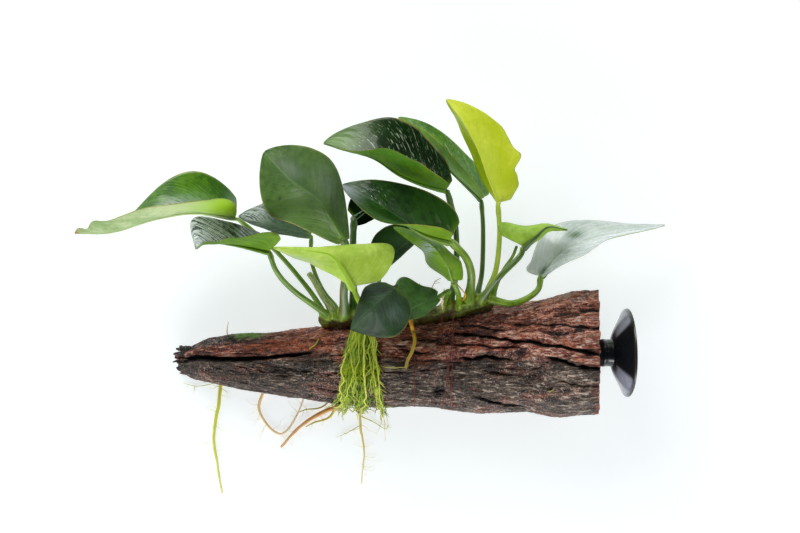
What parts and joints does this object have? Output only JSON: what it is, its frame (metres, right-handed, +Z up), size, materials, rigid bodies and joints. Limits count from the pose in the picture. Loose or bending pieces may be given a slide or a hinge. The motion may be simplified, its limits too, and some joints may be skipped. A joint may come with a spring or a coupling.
{
  "type": "anubias on driftwood",
  "caption": "Aquarium plant with a creeping stem, pointed leaves and hanging roots tied to a tapered piece of driftwood that ends in a suction cup.",
  "frame": {"origin": "On the flat back that the wood lies on, near the middle of its length, below the left part of the tied stem.", "axes": "+X along the wood from its split tip to the suction cup, +Y from the wood to the leaves, +Z up from the surface it lies on."},
  "size_m": [0.2634, 0.1802, 0.0753],
  "materials": {
    "driftwood": "weathered, cracked, damp",
    "cup": "glossy black moulded rubber",
    "stem": "satin green rhizome",
    "leaf": "waxy dark green upper face, paler matt underside",
    "young_leaf": "thin yellow-green young leaf",
    "stalk": "satin green with a reddish side",
    "root": "pale tan to orange single root",
    "root_bundle": "bundle of fine yellow-green roots",
    "thread": "thin red-brown sewing thread"
  },
  "bodies": {
    "root": {"driftwood": "driftwood", "suction_cup": "cup", "creeping_stem": "stem", "blade_01": "leaf", "blade_02": "leaf", "blade_03": "leaf", "blade_04": "leaf", "blade_05": "leaf", "blade_06": "leaf", "blade_07": "leaf", "blade_08": "leaf", "blade_09": "leaf", "blade_10": "leaf", "blade_11": "leaf", "blade_12": "leaf", "blade_13": "young_leaf", "blade_14": "leaf", "blade_15": "leaf", "blade_16": "leaf", "stalk_01": "stalk", "stalk_02": "stalk", "stalk_03": "stalk", "stalk_04": "stalk", "stalk_05": "stalk", "stalk_06": "stalk", "stalk_07": "stalk", "stalk_08": "stalk", "stalk_09": "stalk", "stalk_10": "stalk", "stalk_11": "stalk", "stalk_12": "stalk", "stalk_13": "stalk", "stalk_14": "stalk", "stalk_15": "stalk", "stalk_16": "stalk", "old_stalk": "stalk", "young_stalk": "stalk", "root_far_left": "root", "root_loop": "root", "root_tan": "root", "root_pale": "root", "root_orange": "root", "root_clump": "root_bundle", "tying_thread": "thread"}
  },
  "joints": []
}
